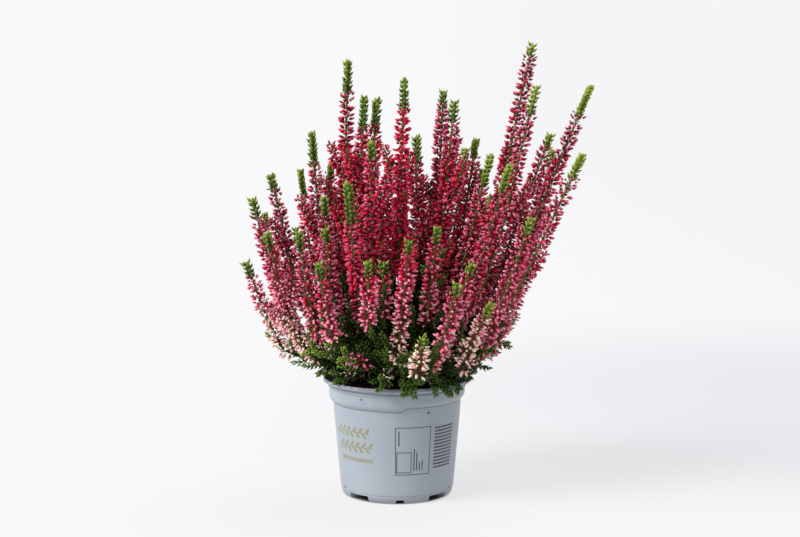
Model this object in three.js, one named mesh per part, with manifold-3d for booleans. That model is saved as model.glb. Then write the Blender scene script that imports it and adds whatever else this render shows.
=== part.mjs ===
// Potted heather: a round nursery pot filled with potting soil, holding three rooted cuttings.
// Every long shoot carries a flower spike below its green leafy tip, and short leafy sprigs
// spread low over the rim. Millimetres, +Z up, origin at the centre of the pot's flat base.
import * as THREE from 'three';
import { mergeVertices } from 'three/addons/utils/BufferGeometryUtils.js';
import Module from 'manifold-3d';

const wasm = await Module();
wasm.setup();

// Pot
const potHeight = 96.4;
const lipRadius = 60.5;
const lipEdge = 3;
const collarRadius = 55.5;
const collarTop = 89.2;
const collarFoot = 80.4;
const shoulderRadius = 52.5;
const shoulderHeight = 76.6;
const footRadius = 46.5;
const footHeight = 7;
const baseRadius = 41.5;
const wall = 1.3;
const floorThickness = 2.1;
const potSides = 32;
const cutoutCount = 4;
const cutouts = [
  { angle: 27, height: 5.4, inner: 37, first: -43 },
  { angle: 10, height: 3.6, inner: 39.5, first: -87 },
];
const drainCount = 5;
const drainRadius = 3.5;
const drainCircle = 24;

// Soil
const soilHeight = 85;
const soilMound = 3;
const crumbHeight = 0.55;
const gap = 0.3;
const trunkGap = 0.35;

// Cuttings
const trunkCircle = 22;
const trunkCount = 3;
const trunkRadius = 4.2;
const trunkFoot = 52;
const trunkTop = 104;
const trunkSlim = 3;
const lowestFork = 93;
const highestFork = 103;
const forkReach = 130;
const firstTrunk = 30;

// Shoots
const stemRadius = { foot: 1.5, tip: 1 };
const boreClearance = 0.46;
const leafyTip = { pitch: 5.2, reach: 3.9, core: 1.8, taper: 0.35 };
const leafyFoot = { pitch: 14, reach: 4.6, core: 1.9, taper: 0 };
const leafyFrom = 0.42;
const leafyTo = 0.96;
const leafyLeast = 30;

// Flower spikes: how far the florets and the core between them stand from the stem's axis
const spikeReach = { foot: 9.2, top: 7.3 };
const spikeCore = { foot: 3.8, top: 3.2 };
const floretPitch = 7.2;
const floretTurn = 8;
const lowestSpike = 116;
const spikeLift = 99;
const spikeRise = 0.25;
const spikeFall = 0.4;

// Sprigs: their tips stand on two rings over the rim, and every second one droops
const sprigCount = 18;
const sprigRings = [[88, 78, 84], [65, 69, 63]];
const sprigArch = [{ lift: 27, droop: 0.95 }, { lift: 23, droop: 1.85 }];
const sprigStations = [0, 0.25, 0.5, 0.75, 1];
const sprigFork = 95;
const sprigBare = 0.9;
const leafySprig = { pitch: 6.4, reach: 4.2, core: 1.9, taper: 0.45 };

// Spacing: shoots that come too close are eased apart, and each is drawn back to its place
const easePasses = 90;
const freePasses = 10;
const beadPitch = 7;
const clearance = 1;
const pushShare = 0.2;
const evenShare = 0.15;
const hold = new THREE.Vector3(0.93, 0.97, 1);

// The crown leans a little to the left in the middle of its height: the shoots on its left end
// upright, and the ones furthest to the right grow straighter
const bowShare = 0.045;
const bowLeft = { from: 15, to: -30 };
const bowRight = { from: 125, to: 145 };
const bowPasses = 16;

// Tips of the long shoots: across, deep, height, length of the green tip, and on some the
// height that their flowers start at
const tallShoots = [
  [110, 10, 369, 12], [155, -2, 335, 26], [109, -24, 335, 23], [-40, 22, 355, 27],
  [6, -12, 341, 25], [38, 32, 331, 14], [48, 2, 323, 18], [-26, -8, 327, 27],
  [-17, 42, 324, 26], [133, 46, 295, 12], [-69, -4, 298, 28], [-44, 62, 285, 13],
  [-20, -34, 291, 15], [17, 18, 294, 22], [59, 64, 282, 22], [65, 12, 292, 16],
  [79, -12, 281, 26], [99, 54, 279, 14], [90, -42, 274, 23],
];
const middleShoots = [
  [146, -44, 282, 22], [123, 22, 283, 12], [-105, 16, 263, 15], [-81, 48, 265, 23],
  [72, 38, 266, 13], [-54, 36, 270, 12], [-58, -28, 248, 18], [-39, -50, 260, 32],
  [-30, 84, 252, 16], [-5, 70, 274, 16], [34, 88, 246, 16], [84, 84, 240, 16],
];
const lowShoots = [
  [-118, -12, 245, 17], [-110, 36, 230, 12], [-103, -38, 219, 13], [-123, 2, 192, 14],
  [-76, -56, 222, 15, 138], [-57, -50, 224, 12, 144], [-60, -80, 200, 13, 138],
  [-22, -82, 202, 13, 151], [-10, -60, 199, 12, 153], [11, -84, 218, 12],
  [32, -56, 226, 13, 146], [60, -66, 199, 12],
  [47, -92, 186, 12], [74, -76, 169, 12], [21, -100, 147, 11], [104, -64, 233, 14],
  [-88, 74, 214, 14], [-60, 96, 192, 14], [-12, 104, 212, 14], [16, 108, 190, 13],
  [60, 104, 204, 14], [102, 92, 184, 13], [122, 72, 212, 14], [-108, 62, 178, 13],
];
const shootGroups = [
  { bend: 0.54, tips: tallShoots },
  { bend: 0.46, tips: middleShoots },
  { bend: 0.36, tips: lowShoots },
];

const colours = {
  pot: 0x97a0a9,
  soil: 0x231b17,
  leaves: 0x4d7030,
};
const bloomColours = [
  { above: 230, colour: 0xb5183f },
  { above: 185, colour: 0xc44a78 },
  { above: 0, colour: 0xdf9fa6 },
];

// Solids and geometry

function solidOf(geometry) {
  const bare = geometry.clone();
  bare.deleteAttribute('normal');
  bare.deleteAttribute('uv');
  const merged = mergeVertices(bare, 1e-3);
  return new wasm.Manifold(new wasm.Mesh({
    numProp: 3,
    vertProperties: new Float32Array(merged.attributes.position.array),
    triVerts: new Uint32Array(merged.index.array),
  }));
}

function geometryOf(solid) {
  const mesh = solid.getMesh();
  const geometry = new THREE.BufferGeometry();
  geometry.setAttribute('position', new THREE.BufferAttribute(mesh.vertProperties, 3));
  geometry.setIndex(new THREE.BufferAttribute(mesh.triVerts, 1));
  geometry.computeVertexNormals();
  return geometry;
}

// A closed skin over rings of points, ending flat or in an apex. The quads between rings are
// split in turn, so that every second point pushed out stands as a four-sided pyramid.
function skin(rings, apex) {
  const sides = rings[0].length;
  const last = rings.length - 1;
  const points = rings.flat();
  const faces = [];
  const at = (ring, side) => ring * sides + (side % sides);
  for (let ring = 0; ring < last; ring += 1) {
    for (let side = 0; side < sides; side += 1) {
      const [a, b] = [at(ring, side), at(ring, side + 1)];
      const [c, d] = [at(ring + 1, side + 1), at(ring + 1, side)];
      if ((ring + side) % 2 === 0) faces.push(a, b, d, b, c, d);
      else faces.push(a, b, c, a, c, d);
    }
  }
  for (let side = 1; side < sides - 1; side += 1) {
    faces.push(at(0, 0), at(0, side + 1), at(0, side));
    if (!apex) faces.push(at(last, 0), at(last, side), at(last, side + 1));
  }
  if (apex) {
    points.push(apex);
    for (let side = 0; side < sides; side += 1) {
      faces.push(at(last, side), at(last, side + 1), points.length - 1);
    }
  }
  const geometry = new THREE.BufferGeometry().setFromPoints(points);
  geometry.setIndex(faces);
  return geometry;
}

// Pot

function potProfile() {
  const inner = (radius) => radius - wall;
  return [
    [0, 0], [baseRadius, 0], [footRadius - 0.8, 2.4], [footRadius, footHeight],
    [shoulderRadius, shoulderHeight], [collarRadius, collarFoot], [collarRadius, collarTop],
    [lipRadius, potHeight - lipEdge], [lipRadius, potHeight],
    [inner(lipRadius), potHeight], [inner(lipRadius), potHeight - lipEdge + 0.6],
    [inner(collarRadius), collarTop + 0.6], [inner(collarRadius), collarFoot + 0.5],
    [inner(shoulderRadius), shoulderHeight + 0.5], [inner(footRadius), footHeight],
    [baseRadius - 0.5, floorThickness], [0, floorThickness],
  ];
}

function lathe(profile, sides) {
  return new THREE.LatheGeometry(profile.map(([r, z]) => new THREE.Vector2(r, z)), sides)
    .rotateX(Math.PI / 2);
}

// A wedge-shaped block that takes a foot cut-out out of the pot's lower corner
function cutoutBlock(cutout, turn) {
  const half = THREE.MathUtils.degToRad(cutout.angle / 2);
  const outer = footRadius + 4;
  const below = 2;
  const outline = new THREE.Shape([
    new THREE.Vector2(cutout.inner * Math.cos(half), -cutout.inner * Math.sin(half)),
    new THREE.Vector2(outer, -outer * Math.tan(half)),
    new THREE.Vector2(outer, outer * Math.tan(half)),
    new THREE.Vector2(cutout.inner * Math.cos(half), cutout.inner * Math.sin(half)),
  ]);
  const depth = cutout.height + below;
  return new THREE.ExtrudeGeometry(outline, { depth, bevelEnabled: false })
    .translate(0, 0, -below).rotateZ(turn);
}

function drainBlock(turn) {
  return new THREE.CylinderGeometry(drainRadius, drainRadius, 3 * floorThickness, 6)
    .rotateX(Math.PI / 2).translate(drainCircle, 0, floorThickness / 2).rotateZ(turn);
}

function makePot() {
  let pot = solidOf(lathe(potProfile(), potSides));
  for (const cutout of cutouts) {
    for (let i = 0; i < cutoutCount; i += 1) {
      const turn = THREE.MathUtils.degToRad(cutout.first + i * 360 / cutoutCount);
      pot = pot.subtract(solidOf(cutoutBlock(cutout, turn)));
    }
  }
  for (let i = 0; i < drainCount; i += 1) {
    pot = pot.subtract(solidOf(drainBlock((i + 0.5) * 2 * Math.PI / drainCount)));
  }
  return geometryOf(pot);
}

// Soil

function makeSoil(trunks) {
  const inner = (radius) => radius - wall - gap;
  const floor = floorThickness + gap;
  const profile = [
    [0, floor], [baseRadius - 1.5, floor], [inner(footRadius), footHeight + 1.5],
    [inner(shoulderRadius), shoulderHeight], [inner(collarRadius) - 0.4, collarFoot + 0.8],
    [inner(collarRadius), soilHeight], [46, soilHeight], [36, soilHeight], [25, soilHeight],
    [12, soilHeight], [0, soilHeight],
  ];
  const geometry = lathe(profile, potSides / 2);
  const place = geometry.attributes.position;
  for (let i = 0; i < place.count; i += 1) {
    if (place.getZ(i) > soilHeight - 0.01) {
      const [x, y] = [place.getX(i), place.getY(i)];
      const mound = soilMound * (1 - (x * x + y * y) / (collarRadius * collarRadius));
      const crumbs = Math.sin(x * 0.31 + 1) * Math.cos(y * 0.27) + Math.sin((x + y) * 0.47);
      place.setZ(i, soilHeight + mound + crumbHeight * crumbs);
    }
  }
  let soil = solidOf(geometry);
  for (const trunk of trunks) {
    soil = soil.subtract(solidOf(trunkSkin(trunk, trunkGap, trunkFoot - trunkGap)));
  }
  return geometryOf(soil);
}

// Shoots

function trunkSkin(trunk, extra, foot) {
  return new THREE.CylinderGeometry(trunkSlim + extra, trunkRadius + extra, trunkTop - foot, 6)
    .rotateX(Math.PI / 2).translate(trunk.x, trunk.y, (trunkTop + foot) / 2);
}

function makeTrunks() {
  return Array.from({ length: trunkCount }, (_, i) => {
    const turn = THREE.MathUtils.degToRad(firstTrunk + i * 360 / trunkCount);
    return new THREE.Vector3(trunkCircle * Math.cos(turn), trunkCircle * Math.sin(turn), 0);
  });
}

function nearestTrunk(trunks, tip) {
  const turned = (trunk) => trunk.x * tip.x + trunk.y * tip.y;
  return trunks.reduce((best, trunk) => (turned(trunk) > turned(best) ? trunk : best));
}

// Where a shoot forks from its trunk: the far-reaching ones low, the upright ones high
function footOf(trunk, tip) {
  const out = new THREE.Vector3(tip.x - trunk.x, tip.y - trunk.y, 0);
  const share = Math.min(out.length() / forkReach, 1);
  const height = THREE.MathUtils.lerp(highestFork, lowestFork, share);
  return trunk.clone().addScaledVector(out.normalize(), share).setZ(height);
}

// A long shoot leaves its trunk sideways and bends upright
function longShoot(trunks, bend, [across, deep, height, green, flowersFrom]) {
  const tip = new THREE.Vector3(across, deep, height);
  const trunk = nearestTrunk(trunks, tip);
  const foot = footOf(trunk, tip);
  const top = height - green;
  const fall = spikeFall * Math.hypot(across, deep);
  const usual = Math.max(lowestSpike, spikeLift + spikeRise * height - fall);
  const spikeFoot = flowersFrom ?? usual;
  const heights = [foot.z, spikeFoot - 1, (2 * spikeFoot + top) / 3, height];
  const line = heights.map((z) => {
    const rise = (z - foot.z) / (height - foot.z);
    return foot.clone().lerp(tip, Math.pow(rise, bend)).setZ(z);
  });
  return { trunk, line, home: line.map((point) => point.clone()), top, spikeFoot };
}

// A sprig arches out over the rim of the pot
function sprig(trunks, i) {
  const turn = i * 2 * Math.PI / sprigCount;
  const kind = i % sprigArch.length;
  const ring = sprigRings[kind][i % sprigRings[kind].length];
  const tip = new THREE.Vector3(ring * Math.cos(turn), ring * Math.sin(turn), sprigFork);
  const trunk = nearestTrunk(trunks, tip);
  const foot = trunk.clone().setZ(sprigFork);
  const { lift, droop } = sprigArch[kind];
  const line = sprigStations.map((share) => {
    const point = foot.clone().lerp(tip, share);
    return point.setZ(sprigFork + lift * share * (2 - droop * share));
  });
  return { trunk, line, home: line.map((point) => point.clone()) };
}

// Centre, direction and both cross directions at a place on a shoot's line: place 1.5 is
// halfway between stations 1 and 2
function stand(shoot, place) {
  const { line } = shoot;
  const k = Math.min(Math.floor(place), line.length - 2);
  const share = place - k;
  const heading = (station) => {
    const low = line[Math.max(station - 1, 0)];
    const high = line[Math.min(station + 1, line.length - 1)];
    return high.clone().sub(low).normalize();
  };
  const along = heading(k).lerp(heading(k + 1), share).normalize();
  const out = line[line.length - 1].clone().sub(line[0]).setZ(0).normalize();
  const over = new THREE.Vector3(-out.y, out.x, 0).cross(along).normalize();
  const centre = line[k].clone().lerp(line[k + 1], share);
  return { centre, over, side: along.clone().cross(over).normalize() };
}

function placeAt({ line }, height) {
  let k = 0;
  while (k < line.length - 2 && height > line[k + 1].z) k += 1;
  return k + (height - line[k].z) / (line[k + 1].z - line[k].z);
}

// Four points round a shoot's line
function ringAt(shoot, place, radiusOf, twist = 0) {
  const { centre, over, side } = stand(shoot, place);
  return [0, 1, 2, 3].map((i) => {
    const turn = i * Math.PI / 2 + twist;
    return centre.clone()
      .addScaledVector(over, radiusOf(i) * Math.cos(turn))
      .addScaledVector(side, radiusOf(i) * Math.sin(turn));
  });
}

function stemRing(shoot, place, extra) {
  const share = place / (shoot.line.length - 1);
  const radius = THREE.MathUtils.lerp(stemRadius.foot, stemRadius.tip, share) + extra;
  return ringAt(shoot, place, () => radius);
}

// Scale leaves in crossed pairs round a slim core, from one place on a shoot to another
function leafRings(shoot, from, to, { pitch, reach, core, taper }) {
  const length = stand(shoot, from).centre.distanceTo(stand(shoot, to).centre);
  const count = Math.max(2, Math.round(length / pitch));
  return Array.from({ length: count }, (_, k) => {
    const size = 1 - taper * k / count;
    const place = THREE.MathUtils.lerp(from, to, (k + 0.4) / count);
    return ringAt(shoot, place, (i) => size * ((i + k) % 2 === 0 ? reach : core));
  });
}

// A long shoot: its stem, leafy below the flower spike that sits round it, and its leafy tip
function shootSkin(shoot) {
  const last = shoot.line.length - 1;
  const top = placeAt(shoot, shoot.top);
  const reach = shoot.line[0].distanceTo(shoot.line[1]);
  const low = reach > leafyLeast ? leafRings(shoot, leafyFrom, leafyTo, leafyFoot) : [];
  const bare = [...shoot.line.keys()].slice(1, -1).concat(top);
  const stem = bare.map((place) => stemRing(shoot, place, 0));
  const tip = leafRings(shoot, top, last, leafyTip);
  return skin([stemRing(shoot, 0, 0), ...low, ...stem, ...tip], shoot.line[last]);
}

function sprigSkin(low) {
  const last = low.line.length - 1;
  const stem = [0, sprigBare].map((place) => stemRing(low, place, 0));
  const leaves = leafRings(low, sprigBare, last, leafySprig);
  return skin([...stem, ...leaves], low.line[last]);
}

function boreSkin(shoot) {
  return skin([...shoot.line.keys()].map((place) => stemRing(shoot, place, boreClearance)));
}

// The flower spike: florets in crossed pairs on a sleeve round the stem
function spikeSolid(shoot) {
  const count = Math.round((shoot.top - shoot.spikeFoot) / floretPitch);
  const rings = Array.from({ length: count + 1 }, (_, k) => {
    const share = k / count;
    const reach = THREE.MathUtils.lerp(spikeReach.foot, spikeReach.top, share);
    const core = THREE.MathUtils.lerp(spikeCore.foot, spikeCore.top, share);
    const end = k === 0 || k === count;
    const place = placeAt(shoot, THREE.MathUtils.lerp(shoot.spikeFoot, shoot.top, share));
    const twist = THREE.MathUtils.degToRad(floretTurn * k);
    return ringAt(shoot, place, (i) => (!end && (i + k) % 2 === 0 ? reach : core), twist);
  });
  return solidOf(skin(rings)).subtract(solidOf(boreSkin(shoot)));
}

// Spacing of the shoots

function reachAt(shoot, height, k) {
  if (shoot.top === undefined) return k === 0 ? stemRadius.foot : leafySprig.reach;
  if (height > shoot.top) return leafyTip.reach;
  if (height < shoot.spikeFoot) return k === 0 ? stemRadius.foot : leafyFoot.core;
  const share = (height - shoot.spikeFoot) / (shoot.top - shoot.spikeFoot);
  return THREE.MathUtils.lerp(spikeReach.foot, spikeReach.top, share);
}

function beadsOf(shoot) {
  const beads = [];
  for (let k = 0; k < shoot.line.length - 1; k += 1) {
    const [low, high] = [shoot.line[k], shoot.line[k + 1]];
    const count = Math.ceil(low.distanceTo(high) / beadPitch);
    for (let i = 1; i <= count; i += 1) {
      const centre = low.clone().lerp(high, i / count);
      beads.push({ shoot, k, share: i / count, centre, reach: reachAt(shoot, centre.z, k) });
    }
  }
  return beads;
}

function pushApart(a, b) {
  if (a.reach === stemRadius.foot && b.reach === stemRadius.foot) return;
  const away = a.centre.clone().sub(b.centre);
  const short = a.reach + b.reach + clearance - away.length();
  if (short <= 0) return;
  const push = away.setZ(0).normalize().multiplyScalar(short * pushShare);
  for (const [bead, sign] of [[a, 1], [b, -1]]) {
    const { line } = bead.shoot;
    if (bead.k > 0) line[bead.k].addScaledVector(push, sign * (1 - bead.share));
    line[bead.k + 1].addScaledVector(push, sign * bead.share);
  }
}

// The shift of each station from its first place is evened out along the shoot
function settle(shoot) {
  const shift = shoot.line.map((point, k) => point.clone().sub(shoot.home[k]));
  for (let k = 1; k < shift.length; k += 1) {
    const after = shift[Math.min(k + 1, shift.length - 1)];
    const even = shift[k - 1].clone().add(after).multiplyScalar(0.5);
    const eased = shift[k].clone().lerp(even, evenShare).multiply(hold);
    shoot.line[k].copy(shoot.home[k]).add(eased);
  }
}

function easeApart(shoots, passes, settlingPasses) {
  const reachMost = 2 * spikeReach.foot + clearance;
  for (let pass = 0; pass < passes; pass += 1) {
    const beads = shoots.flatMap(beadsOf).sort((a, b) => a.centre.z - b.centre.z);
    for (let a = 0; a < beads.length; a += 1) {
      const ceiling = beads[a].centre.z + reachMost;
      for (let b = a + 1; b < beads.length && beads[b].centre.z < ceiling; b += 1) {
        if (beads[a].shoot !== beads[b].shoot) pushApart(beads[a], beads[b]);
      }
    }
    if (pass < settlingPasses) shoots.forEach(settle);
  }
}

function bowOut({ line }) {
  const [foot, tip] = [line[0], line[line.length - 1]];
  const sides = [bowLeft, bowRight].map(({ from, to }) => (tip.x - from) / (to - from));
  const side = THREE.MathUtils.clamp(Math.max(...sides), 0, 1);
  for (const point of line) {
    const rise = (point.z - foot.z) / (tip.z - foot.z);
    point.x -= bowShare * side * (tip.z - foot.z) * Math.sin(Math.PI * rise);
  }
}

// Assembly

function named(name, geometry, colour, roughness) {
  const material = new THREE.MeshStandardMaterial({ color: colour, roughness, metalness: 0 });
  const mesh = new THREE.Mesh(geometry, material);
  mesh.name = name;
  return mesh;
}

function makePlant(trunk, shoots, sprigs) {
  const skins = [trunkSkin(trunk, 0, trunkFoot), ...shoots.map(shootSkin), ...sprigs.map(sprigSkin)];
  return geometryOf(wasm.Manifold.union(skins.map(solidOf)));
}

function makeHeather() {
  const trunks = makeTrunks();
  const shoots = shootGroups
    .flatMap(({ bend, tips }) => tips.map((tip) => longShoot(trunks, bend, tip)));
  const sprigs = Array.from({ length: sprigCount }, (_, i) => sprig(trunks, i));
  const grown = [...shoots, ...sprigs];
  easeApart(grown, easePasses, easePasses - freePasses);
  shoots.forEach(bowOut);
  easeApart(grown, bowPasses, 0);
  const heather = new THREE.Group();
  heather.add(named('pot', makePot(), colours.pot, 0.45));
  heather.add(named('soil', makeSoil(trunks), colours.soil, 0.95));
  trunks.forEach((trunk, i) => {
    const own = (all) => all.filter((one) => one.trunk === trunk);
    const plant = makePlant(trunk, own(shoots), own(sprigs));
    heather.add(named(`plant_${i + 1}`, plant, colours.leaves, 0.7));
  });
  shoots.forEach((shoot, i) => {
    const name = `spike_${String(i + 1).padStart(2, '0')}`;
    const bloom = bloomColours.find(({ above }) => shoot.top > above).colour;
    heather.add(named(name, geometryOf(spikeSolid(shoot)), bloom, 0.6));
  });
  return heather;
}

const heather = makeHeather();
export default heather;
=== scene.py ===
import math
import bpy
import numpy as np
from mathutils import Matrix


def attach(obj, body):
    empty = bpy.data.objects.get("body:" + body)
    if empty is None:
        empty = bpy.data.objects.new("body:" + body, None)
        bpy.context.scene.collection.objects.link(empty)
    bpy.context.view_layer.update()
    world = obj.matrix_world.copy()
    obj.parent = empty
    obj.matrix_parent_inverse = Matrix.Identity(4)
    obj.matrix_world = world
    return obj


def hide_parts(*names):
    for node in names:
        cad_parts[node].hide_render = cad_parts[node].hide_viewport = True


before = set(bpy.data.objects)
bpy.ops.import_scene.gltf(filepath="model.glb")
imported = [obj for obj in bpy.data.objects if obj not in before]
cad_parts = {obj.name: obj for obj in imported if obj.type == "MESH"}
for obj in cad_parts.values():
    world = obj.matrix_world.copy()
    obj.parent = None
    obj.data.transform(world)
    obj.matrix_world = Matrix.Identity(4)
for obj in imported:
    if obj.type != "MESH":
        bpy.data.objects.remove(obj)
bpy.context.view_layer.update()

mm = 0.001
draw = np.random.default_rng(8)
plantNames = sorted(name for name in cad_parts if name.startswith("plant_"))
spikeNames = sorted(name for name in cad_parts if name.startswith("spike_"))


# Small helpers for modelling

def deselectAll():
    bpy.ops.object.select_all(action="DESELECT")


def added(add, **values):
    # the shape that an add operator makes
    deselectAll()
    add(**values)
    return bpy.context.object


def pick(*shapes):
    deselectAll()
    for shape in shapes:
        shape.select_set(True)
    bpy.context.view_layer.objects.active = shapes[0]


def joined(name, shapes):
    pick(*shapes)
    bpy.ops.object.join()
    shapes[0].name = name
    return shapes[0]


def editCorners(shape, wanted):
    # opens edit mode with only the wanted vertices selected
    pick(shape)
    bpy.ops.object.mode_set(mode="EDIT")
    bpy.ops.mesh.select_mode(type="VERT")
    bpy.ops.mesh.select_all(action="DESELECT")
    bpy.ops.object.mode_set(mode="OBJECT")
    for corner in shape.data.vertices:
        corner.select = bool(wanted(corner.co))
    bpy.ops.object.mode_set(mode="EDIT")


def leaveEdit():
    bpy.ops.object.mode_set(mode="OBJECT")


def shiftCorners(shape, wanted, shift):
    editCorners(shape, wanted)
    bpy.ops.transform.translate(value=shift)
    leaveEdit()


def growCorners(shape, wanted, grow):
    editCorners(shape, wanted)
    bpy.ops.transform.resize(value=grow)
    leaveEdit()


def applyPlace(shape):
    pick(shape)
    bpy.ops.object.transform_apply(location=True, rotation=True, scale=True)


def applyAll(shape):
    pick(shape)
    for modifier in list(shape.modifiers):
        bpy.ops.object.modifier_apply(modifier=modifier.name)


def cutAway(shape, cutter):
    cut = shape.modifiers.new("cut", "BOOLEAN")
    cut.operation = "DIFFERENCE"
    cut.solver = "EXACT"
    cut.object = cutter
    applyAll(shape)
    bpy.data.objects.remove(cutter)


def faceOut(shape):
    editCorners(shape, lambda spot: True)
    bpy.ops.mesh.remove_doubles(threshold=1e-6)
    bpy.ops.mesh.normals_make_consistent(inside=False)
    leaveEdit()


def smoothBelow(shape, degrees):
    pick(shape)
    bpy.ops.object.shade_smooth_by_angle(angle=math.radians(degrees))


def takePattern(shape):
    # a modelled piece that is to be copied many times: its corners and triangles
    editCorners(shape, lambda spot: True)
    bpy.ops.mesh.quads_convert_to_tris()
    leaveEdit()
    spots = np.array([corner.co for corner in shape.data.vertices])
    sides = np.array([face.vertices for face in shape.data.polygons])
    bpy.data.objects.remove(shape)
    return {"spots": spots, "sides": sides}


def coat(shape, finish):
    shape.data.materials.clear()
    shape.data.materials.append(finish)


def finishPiece(shape, nodes):
    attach(shape, "root")
    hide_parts(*nodes)


# Materials

def feed(tree, node, entries):
    # entries: names or numbers of sockets, with the output or the plain value that each gets
    for entry, value in entries.items():
        socket = node.inputs[entry]
        if isinstance(value, bpy.types.NodeSocket):
            tree.links.new(value, socket)
        else:
            socket.default_value = (*value, 1) if socket.type == "RGBA" else value


def addNode(tree, kind, entries, **settings):
    node = tree.nodes.new(kind)
    for name, value in settings.items():
        setattr(node, name, value)
    feed(tree, node, entries)
    return node


def newFinish(name, entries):
    finish = bpy.data.materials.new(name)
    finish.use_nodes = True
    shader = finish.node_tree.nodes["Principled BSDF"]
    feed(finish.node_tree, shader, entries)
    return finish, finish.node_tree, shader


def objectPlace(tree):
    return addNode(tree, "ShaderNodeTexCoord", {}).outputs["Object"]


def axisOf(tree, place, axis):
    return addNode(tree, "ShaderNodeSeparateXYZ", {"Vector": place}).outputs[axis]


def objectNoise(tree, scale, detail=3.0, roughness=0.5):
    return addNode(tree, "ShaderNodeTexNoise", {"Vector": objectPlace(tree), "Scale": scale,
                                                "Detail": detail, "Roughness": roughness}).outputs["Fac"]


def ramp(tree, source, stops):
    # a colour, or a share of white, for each value of the source
    band = addNode(tree, "ShaderNodeValToRGB", {"Fac": source})
    points = band.color_ramp.elements
    while len(points) < len(stops):
        points.new(0.5)
    for point, (place, colour) in zip(points, stops):
        point.position = place
        point.color = (*np.broadcast_to(colour, 3), 1)
    return band.outputs["Color"]


def spread(tree, source, low, high, first, last, bend="LINEAR"):
    # goes from the first value to the last while the source goes from low to high
    return addNode(tree, "ShaderNodeMapRange", {"Value": source, "From Min": low, "From Max": high,
                                                "To Min": first, "To Max": last},
                   interpolation_type=bend).outputs["Result"]


def mixed(tree, blend, factor, first, second):
    return addNode(tree, "ShaderNodeMix", {"Factor": factor, 6: first, 7: second},
                   data_type="RGBA", blend_type=blend).outputs[2]


def addBump(tree, shader, source, strength, distance):
    bump = addNode(tree, "ShaderNodeBump", {"Strength": strength, "Distance": distance, "Height": source})
    feed(tree, shader, {"Normal": bump.outputs["Normal"]})


def paint(red, green, blue):
    # 0 to 255 screen values as linear light
    def linear(value):
        value /= 255
        return value / 12.92 if value < 0.04045 else ((value + 0.055) / 1.055) ** 2.4
    return linear(red), linear(green), linear(blue)


def painted(stops):
    return [(place, paint(*colour)) for place, colour in stops]


mottling = {"shine": 0.12, "tipFrom": 0.45, "scale": 900, "shades": [(0.3, 0.76), (0.7, 1.15)],
            "bump": 0.25, "depth": 0.0002}


def toneFinish(name, spec):
    # colour by each bud's or leaf's own tone, changed towards its tip and darker towards its root, and
    # mottled: the paler bud tips are partly their own colour and partly a painted highlight, and the darker
    # roots are painted shade where they meet the stem
    finish, tree, shader = newFinish(name, {"Roughness": spec["gloss"],
                                            "Specular IOR Level": mottling["shine"]})
    tone, along = (addNode(tree, "ShaderNodeAttribute", {}, attribute_name=word).outputs["Fac"]
                   for word in ("tone", "along"))
    body = ramp(tree, tone, painted(spec["stops"]))
    nearTip = ramp(tree, along, [(mottling["tipFrom"], 0), (1, spec["tipShare"])])
    nearRoot = ramp(tree, along, [(0, 1), (spec["rootReach"], 0)])
    body = mixed(tree, "MIX", nearTip, body, paint(*spec["tip"]))
    body = mixed(tree, "MIX", nearRoot, body, paint(*spec["root"]))
    mottle = objectNoise(tree, mottling["scale"], 2)
    mottled = mixed(tree, "MULTIPLY", 1, body, ramp(tree, mottle, mottling["shades"]))
    feed(tree, shader, {"Base Color": mottled})
    addBump(tree, shader, mottle, mottling["bump"], mottling["depth"])
    return finish


# Lines that stems and twigs follow

def between(ends, share):
    return ends[0] + (ends[1] - ends[0]) * share


def fade(values, start, full):
    # 0 at the start and 1 at the full value
    return np.clip((values - start) / (full - start), 0, 1)


def towards(x, z, effect):
    # an effect that grows to one side of the plant and to a height
    return effect["most"] * fade(x, *effect["side"]) * fade(z, *effect["height"])


def lineThrough(spots, step):
    # a smooth line through a few points, with even steps
    spots = np.asarray(spots)
    ends = np.vstack([2 * spots[0] - spots[1], spots, 2 * spots[-1] - spots[-2]])
    parts = []
    for k in range(1, len(ends) - 2):
        count = max(3, int(np.linalg.norm(ends[k + 1] - ends[k]) / step))
        share = np.linspace(0, 1, count, endpoint=False)[:, None]
        a, b, c, d = ends[k - 1:k + 3]
        parts.append(b + 0.5 * share * (c - a + share * (2 * a - 5 * b + 4 * c - d
                     + share * (3 * (b - c) + d - a))))
    path = np.vstack([*parts, spots[-1:]])
    reach = np.concatenate([[0], np.cumsum(np.linalg.norm(np.diff(path, axis=0), axis=1))])
    ways = np.gradient(path, reach, axis=0)
    return {"path": path, "reach": reach, "ways": ways}


def placesOn(line, lengths):
    def read(values):
        return np.stack([np.interp(lengths, line["reach"], values[:, k]) for k in range(3)], axis=1)
    return read(line["path"]), unit(read(line["ways"]))


def unit(vectors):
    return vectors / np.linalg.norm(vectors, axis=-1, keepdims=True)


def outwards(ways, turns):
    # for each way along a stem, the direction that leaves it sideways at the given turn
    steep = np.abs(ways[:, 2:]) > 0.9
    aim = np.where(steep, [1.0, 0.0, 0.0], [0.0, 0.0, 1.0])
    first = unit(aim - ways * np.sum(aim * ways, axis=1, keepdims=True))
    second = np.cross(ways, first)
    return first * np.cos(turns)[:, None] + second * np.sin(turns)[:, None]


def leaning(ways, sideways, lean):
    # frames of leaves that lean out from a stem by an angle: across, back, along
    lean = np.broadcast_to(lean, len(ways))[:, None]
    along = unit(ways * np.cos(lean) + sideways * np.sin(lean))
    back = unit(sideways * np.cos(lean) - ways * np.sin(lean))
    return np.stack([np.cross(back, along), back, along], axis=2)


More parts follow.
